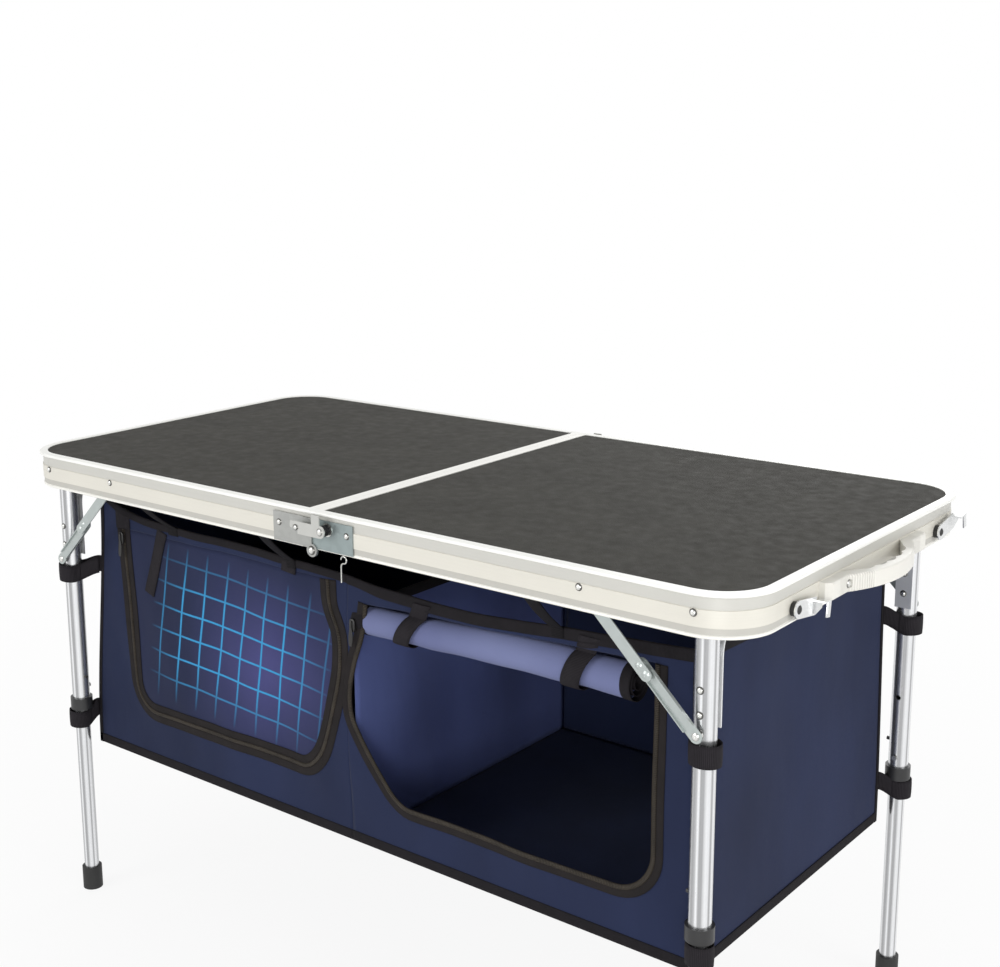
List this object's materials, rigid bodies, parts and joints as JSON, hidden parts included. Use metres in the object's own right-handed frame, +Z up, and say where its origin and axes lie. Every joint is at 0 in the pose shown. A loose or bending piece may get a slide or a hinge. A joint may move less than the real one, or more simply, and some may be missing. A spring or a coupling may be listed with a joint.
{
  "type": "folding camping table",
  "caption": "Folding camping table with two framed leaves on a centre hinge, telescopic folding legs, a carrying handle and a hanging fabric organizer.",
  "frame": {"origin": "on the ground under the middle of the whole table, handle and latches included", "axes": "+X along the table towards the end with the handle, the long front side with the doors faces -Y, +Z up"},
  "size_m": [1.237, 0.6276, 0.7],
  "materials": {
    "rail": "satin extruded aluminium rail",
    "panel": "board with a dark grey leather-grain plastic skin",
    "seam_bar": "satin aluminium bar",
    "screw": "bright plated",
    "zinc": "zinc plated sheet",
    "spring": "black oiled spring wire",
    "white_plastic": "moulded white plastic",
    "bush": "black rubber",
    "latch": "nickel plated sheet",
    "tube": "satin anodised tube",
    "strip": "bright aluminium strip",
    "link": "grey painted steel link",
    "black_plastic": "black moulded plastic",
    "foot": "black rubber",
    "webbing": "black polypropylene webbing",
    "cloth": "navy coated polyester cloth",
    "roll_cloth": "blue coated polyester cloth, back side",
    "zip": "black zip",
    "wire": "bright wire"
  },
  "bodies": {
    "right_top": {"right_rail": "rail", "right_panel": "panel", "right_seam_bar": "seam_bar", "right_screws_and_rivets": "screw", "right_hinge_leaves": "zinc", "lock_posts": "zinc", "lock_springs": "spring", "handle": "white_plastic", "latch_bushes": "bush", "right_leg_hangers": "zinc", "right_brace_brackets": "zinc", "organizer_body": "cloth", "hanging_loops": "webbing", "zip_tapes": "zip", "door_roll": "roll_cloth", "roll_ties": "webbing", "hanging_hooks": "wire"},
    "left_top": {"left_rail": "rail", "left_panel": "panel", "left_seam_bar": "seam_bar", "left_screws_and_rivets": "screw", "left_hinge_leaves": "zinc", "hinge_pins": "zinc", "lock_studs": "zinc", "catch_studs": "screw", "left_leg_hangers": "zinc", "left_brace_brackets": "zinc"},
    "front_lock": {"lock_hook_front": "zinc"},
    "rear_lock": {"lock_hook_rear": "zinc"},
    "near_latch": {"latch_hook_near": "latch"},
    "far_latch": {"latch_hook_far": "latch"},
    "door": {"left_door": "cloth"},
    "left_slider": {"left_zip_slider": "zip"},
    "right_slider": {"right_zip_slider": "zip"},
    "right_legs": {"right_upper_tubes": "tube", "right_crosspiece": "strip", "right_leg_rivets": "screw", "right_collars": "black_plastic", "right_leg_straps": "webbing"},
    "right_upper_brace": {"right_upper_links": "link"},
    "right_lower_brace": {"right_lower_links": "link"},
    "right_front_leg": {"right_front_lower_tube": "tube", "right_front_foot": "foot"},
    "right_front_clip": {"right_front_snap_clip": "screw"},
    "right_rear_leg": {"right_rear_lower_tube": "tube", "right_rear_foot": "foot"},
    "right_rear_clip": {"right_rear_snap_clip": "screw"},
    "left_legs": {"left_upper_tubes": "tube", "left_crosspiece": "strip", "left_leg_rivets": "screw", "left_collars": "black_plastic", "left_leg_straps": "webbing"},
    "left_upper_brace": {"left_upper_links": "link"},
    "left_lower_brace": {"left_lower_links": "link"},
    "left_front_leg": {"left_front_lower_tube": "tube", "left_front_foot": "foot"},
    "left_front_clip": {"left_front_snap_clip": "screw"},
    "left_rear_leg": {"left_rear_lower_tube": "tube", "left_rear_foot": "foot"},
    "left_rear_clip": {"left_rear_snap_clip": "screw"}
  },
  "joints": [
    {"name": "table_fold", "type": "hinge", "parent": "right_top", "child": "left_top", "pos_m": [-0.0155, 0, 0.649], "axis": [0, -1, 0], "range_deg": [0, 75], "deforming": ["organizer_body", "hanging_loops", "zip_tapes", "hanging_hooks", "left_door", "door_roll", "roll_ties", "left_zip_slider", "right_zip_slider"]},
    {"name": "front_lock_swing", "type": "hinge", "parent": "right_top", "child": "front_lock", "pos_m": [0.0105, -0.31, 0.679], "axis": [0, 1, 0], "range_deg": [0, 60]},
    {"name": "rear_lock_swing", "type": "hinge", "parent": "right_top", "child": "rear_lock", "pos_m": [0.0105, 0.31, 0.679], "axis": [0, 1, 0], "range_deg": [0, 60]},
    {"name": "near_latch_swing", "type": "hinge", "parent": "right_top", "child": "near_latch", "pos_m": [0.587, -0.192, 0.666], "axis": [1, 0, 0], "range_deg": [-82, 60]},
    {"name": "far_latch_swing", "type": "hinge", "parent": "right_top", "child": "far_latch", "pos_m": [0.587, 0.192, 0.666], "axis": [1, 0, 0], "range_deg": [-100, 50]},
    {"name": "right_leg_fold", "type": "hinge", "parent": "right_top", "child": "right_legs", "pos_m": [0.5215, 0, 0.67], "axis": [0, 1, 0], "range_deg": [0, 90], "deforming": ["right_leg_straps", "hanging_loops"]},
    {"name": "right_upper_brace_turn", "type": "hinge", "parent": "right_top", "child": "right_upper_brace", "pos_m": [0.3865, 0, 0.67], "axis": [0, 1, 0], "range_deg": [-45, 0]},
    {"name": "right_lower_brace_turn", "type": "hinge", "parent": "right_legs", "child": "right_lower_brace", "pos_m": [0.5215, 0, 0.538], "axis": [0, 1, 0], "range_deg": [0, 46]},
    {"name": "right_front_height", "type": "slide", "parent": "right_legs", "child": "right_front_leg", "axis": [0, 0, 1], "range_m": [0, 0.2], "deforming": ["right_front_snap_clip"]},
    {"name": "right_front_button", "type": "slide", "parent": "right_front_leg", "child": "right_front_clip", "axis": [0, -1, 0], "range_m": [0, 0.005], "stiffness_N_per_m": 600},
    {"name": "right_rear_height", "type": "slide", "parent": "right_legs", "child": "right_rear_leg", "axis": [0, 0, 1], "range_m": [0, 0.2], "deforming": ["right_rear_snap_clip"]},
    {"name": "right_rear_button", "type": "slide", "parent": "right_rear_leg", "child": "right_rear_clip", "axis": [0, 1, 0], "range_m": [0, 0.005], "stiffness_N_per_m": 600},
    {"name": "left_leg_fold", "type": "hinge", "parent": "left_top", "child": "left_legs", "pos_m": [-0.5525, 0, 0.67], "axis": [0, -1, 0], "range_deg": [0, 90], "deforming": ["left_leg_straps", "hanging_loops"]},
    {"name": "left_upper_brace_turn", "type": "hinge", "parent": "left_top", "child": "left_upper_brace", "pos_m": [-0.4175, 0, 0.67], "axis": [0, -1, 0], "range_deg": [-45, 0]},
    {"name": "left_lower_brace_turn", "type": "hinge", "parent": "left_legs", "child": "left_lower_brace", "pos_m": [-0.5525, 0, 0.538], "axis": [0, -1, 0], "range_deg": [0, 46]},
    {"name": "left_front_height", "type": "slide", "parent": "left_legs", "child": "left_front_leg", "axis": [0, 0, 1], "range_m": [0, 0.2], "deforming": ["left_front_snap_clip"]},
    {"name": "left_front_button", "type": "slide", "parent": "left_front_leg", "child": "left_front_clip", "axis": [0, -1, 0], "range_m": [0, 0.005], "stiffness_N_per_m": 600},
    {"name": "left_rear_height", "type": "slide", "parent": "left_legs", "child": "left_rear_leg", "axis": [0, 0, 1], "range_m": [0, 0.2], "deforming": ["left_rear_snap_clip"]},
    {"name": "left_rear_button", "type": "slide", "parent": "left_rear_leg", "child": "left_rear_clip", "axis": [0, 1, 0], "range_m": [0, 0.005], "stiffness_N_per_m": 600},
    {"name": "door_swing", "type": "hinge", "parent": "left_top", "child": "door", "pos_m": [-0.2405, -0.24, 0.586], "axis": [-1, 0, 0], "range_deg": [0, 80]},
    {"name": "left_zip_travel", "type": "slide", "parent": "left_top", "child": "left_slider", "axis": [0.0905, 0, -0.9959], "range_m": [0, 0.16]},
    {"name": "right_zip_travel", "type": "slide", "parent": "right_top", "child": "right_slider", "axis": [0, 0, -1], "range_m": [0, 0.15]}
  ],
  "couplings": [
    {"joint": "front_lock_swing", "follows": "table_fold", "ratio": 0.8},
    {"joint": "rear_lock_swing", "follows": "table_fold", "ratio": 0.8},
    {"joint": "right_upper_brace_turn", "follows": "right_leg_fold", "ratio": -0.4929},
    {"joint": "right_lower_brace_turn", "follows": "right_leg_fold", "ratio": 0.5071},
    {"joint": "left_upper_brace_turn", "follows": "left_leg_fold", "ratio": -0.4929},
    {"joint": "left_lower_brace_turn", "follows": "left_leg_fold", "ratio": 0.5071}
  ]
}
